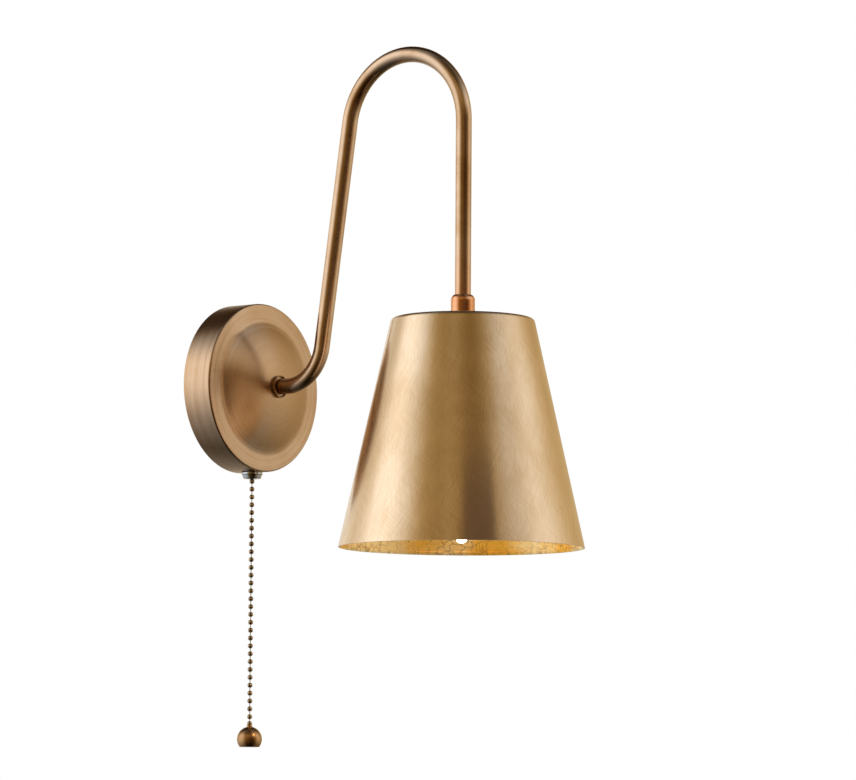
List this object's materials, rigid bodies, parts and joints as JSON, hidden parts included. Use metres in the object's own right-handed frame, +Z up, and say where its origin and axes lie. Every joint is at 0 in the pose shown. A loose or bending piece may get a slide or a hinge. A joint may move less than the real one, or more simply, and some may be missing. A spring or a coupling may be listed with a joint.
{
  "type": "wall sconce with hanging shade",
  "caption": "Wall sconce with a round back plate, a swan-neck tube arm, a hanging cone shade over a candle bulb, and a pull switch on a bead chain that ends in a ball.",
  "frame": {"origin": "centre of the wall bracket's slots and of the round back plate, on the wall plane", "axes": "+Z up along the wall, +Y into the wall, +X along the wall; the room lies towards -Y"},
  "size_m": [0.1834, 0.3102, 0.5282],
  "materials": {
    "aged_brass": "brushed antique brass, brown in the dents, lacquered satin",
    "leaf_brass": "satin yellow brass outside, mottled gold leaf inside",
    "bead_brass": "antiqued brass, smooth",
    "bright_chrome": "polished",
    "zinc_steel": "zinc plated, satin",
    "plain_brass": "bright, turned",
    "nickel_cap": "rolled thread cap, satin",
    "opal_glass": "opal white, smooth",
    "black_plastic": "moulded, fine matt",
    "white_plastic": "moulded, matt",
    "white_pvc": "smooth cable sheath",
    "brown_pvc": "smooth core",
    "blue_pvc": "smooth core",
    "black_pvc": "smooth core",
    "earth_pvc": "smooth core, green and yellow"
  },
  "bodies": {
    "fixture": {"arm_collar": "aged_brass", "arm_flex": "white_pvc", "arm_locknut": "zinc_steel", "arm_nipple": "zinc_steel", "arm_tooth_washer": "zinc_steel", "arm_tube": "aged_brass", "backplate_cover": "aged_brass", "block_screws": "zinc_steel", "bulb_cap": "nickel_cap", "bulb_contact": "plain_brass", "bulb_glass": "opal_glass", "bulb_insulator": "black_plastic", "centre_contact": "plain_brass", "clamp_screws": "zinc_steel", "cover_lug": "aged_brass", "cover_screw": "aged_brass", "earth_lead": "earth_pvc", "earth_screw": "plain_brass", "earth_washer": "plain_brass", "lampholder_body": "black_plastic", "lampholder_cap": "black_plastic", "lampholder_insert": "white_plastic", "led_engine": "white_plastic", "live_lead": "brown_pvc", "neutral_lead": "blue_pvc", "return_spring": "zinc_steel", "screw_shell": "plain_brass", "shade": "leaf_brass", "shade_coupler": "aged_brass", "shade_nut": "zinc_steel", "shade_stem": "zinc_steel", "shade_washer": "zinc_steel", "switch_ferrule": "bright_chrome", "switch_housing": "black_plastic", "switch_lid": "black_plastic", "switch_locknut": "zinc_steel", "switch_neck": "zinc_steel", "switch_terminals": "plain_brass", "switched_lead": "black_pvc", "terminal_block": "white_plastic", "terminal_sleeves": "plain_brass", "wall_bracket": "zinc_steel"},
    "pull": {"pull_spindle": "zinc_steel", "spindle_beads": "bead_brass"},
    "swing_1": {"swing_bead_1": "bead_brass"},
    "swing_2": {"swing_bead_2": "bead_brass"},
    "swing_3": {"swing_bead_3": "bead_brass"},
    "chain": {"bead_strand": "bead_brass", "pull_ball": "aged_brass"}
  },
  "joints": [
    {"name": "switch_pull", "type": "slide", "parent": "fixture", "child": "pull", "axis": [0, 0, -1], "range_m": [0, 0.008], "stiffness_N_per_m": 500, "springref_m": -0.006, "deforming": ["return_spring"]},
    {"name": "chain_out_1", "type": "hinge", "parent": "pull", "child": "swing_1", "pos_m": [0, -0.0142, -0.06686], "axis": [-1, 0, 0], "range_deg": [-1.1, 15]},
    {"name": "chain_side_1", "type": "hinge", "parent": "swing_1", "child": "swing_2", "pos_m": [0, -0.0142, -0.0729], "axis": [0, 1, 0], "range_deg": [-15, 15]},
    {"name": "chain_out_2", "type": "hinge", "parent": "swing_2", "child": "swing_3", "pos_m": [0, -0.0142, -0.07894], "axis": [-1, 0, 0], "range_deg": [0, 15]},
    {"name": "chain_side_2", "type": "hinge", "parent": "swing_3", "child": "chain", "pos_m": [0, -0.0142, -0.08498], "axis": [0, 1, 0], "range_deg": [-15, 15]}
  ]
}
